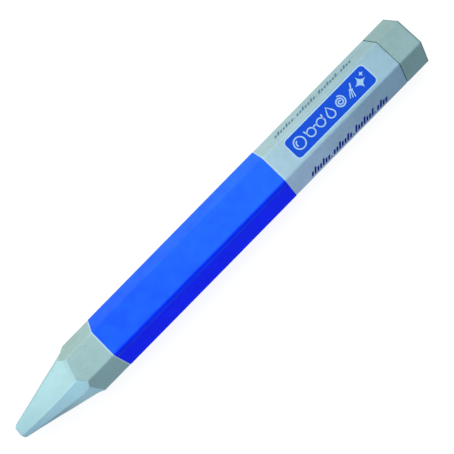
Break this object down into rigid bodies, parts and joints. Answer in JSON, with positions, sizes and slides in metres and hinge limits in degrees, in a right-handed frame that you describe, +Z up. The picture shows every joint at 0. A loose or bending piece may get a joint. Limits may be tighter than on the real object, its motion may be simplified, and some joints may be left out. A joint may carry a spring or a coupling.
{
  "type": "lens cleaning pen",
  "caption": "Six-sided lens cleaning pen with a sliding retractable brush at one end and, under a pull-off tapered cap, a flexible carbon cleaning tip at the other.",
  "frame": {"origin": "middle of the pen's length, on the surface it lies on, under its axis", "axes": "+X along the pen towards the brush mouth, +Z up through the printed flat, +Y to the side whose lower flat carries the slider"},
  "size_m": [0.1204, 0.0136, 0.012],
  "materials": {
    "nose_plastic": "satin moulded plastic, pale bluish grey",
    "cap_plastic": "satin moulded plastic, green-grey",
    "barrel_plastic": "satin moulded plastic, light grey-blue, with a printed panel",
    "grip_plastic": "satin blue sleeve",
    "inner_plastic": "plain moulded plastic, off-white",
    "dark_plastic": "dark grey moulded plastic",
    "tip_rubber": "soft black rubber",
    "chamois": "fine chamois with a carbon coating",
    "carbon_foam": "open-cell foam charged with carbon",
    "spring_steel": "thin spring strip",
    "ferrule_metal": "drawn and crimped tube",
    "resin": "set resin",
    "bristle": "soft natural hair"
  },
  "bodies": {
    "barrel": {"barrel_shell": "barrel_plastic", "grip_sleeve": "grip_plastic", "core_tube": "inner_plastic", "rear_bulkhead": "inner_plastic", "brush_guide": "inner_plastic", "end_collar": "cap_plastic", "front_spigot": "inner_plastic", "tip_stem": "dark_plastic", "neck_boot": "tip_rubber"},
    "tip": {"tip_head": "tip_rubber", "chamois_pad": "chamois"},
    "cap_seat": {"seal_ring": "tip_rubber"},
    "cap": {"cap_shell": "cap_plastic", "cap_nose": "nose_plastic", "cap_liner": "inner_plastic", "sponge_cup": "dark_plastic", "carbon_sponge": "carbon_foam"},
    "brush": {"brush_carriage": "dark_plastic", "slider_button": "grip_plastic", "detent_spring": "spring_steel", "brush_ferrule": "ferrule_metal", "knot_plug": "resin", "brush_bristles": "bristle"}
  },
  "joints": [
    {"name": "brush_slide", "type": "slide", "parent": "barrel", "child": "brush", "axis": [1, 0, 0], "range_m": [0, 0.017]},
    {"name": "tip_flex", "type": "hinge", "parent": "barrel", "child": "tip", "pos_m": [-0.0395, 0, 0.006], "axis": [0, 1, 0], "range_deg": [-12, 12], "stiffness_Nm_per_rad": 0.01},
    {"name": "cap_twist", "type": "hinge", "parent": "barrel", "child": "cap_seat", "pos_m": [-0.0344, 0, 0.006], "axis": [1, 0, 0], "continuous": true},
    {"name": "cap_pull", "type": "slide", "parent": "cap_seat", "child": "cap", "axis": [-1, 0, 0], "range_m": [0, 0.04]}
  ]
}
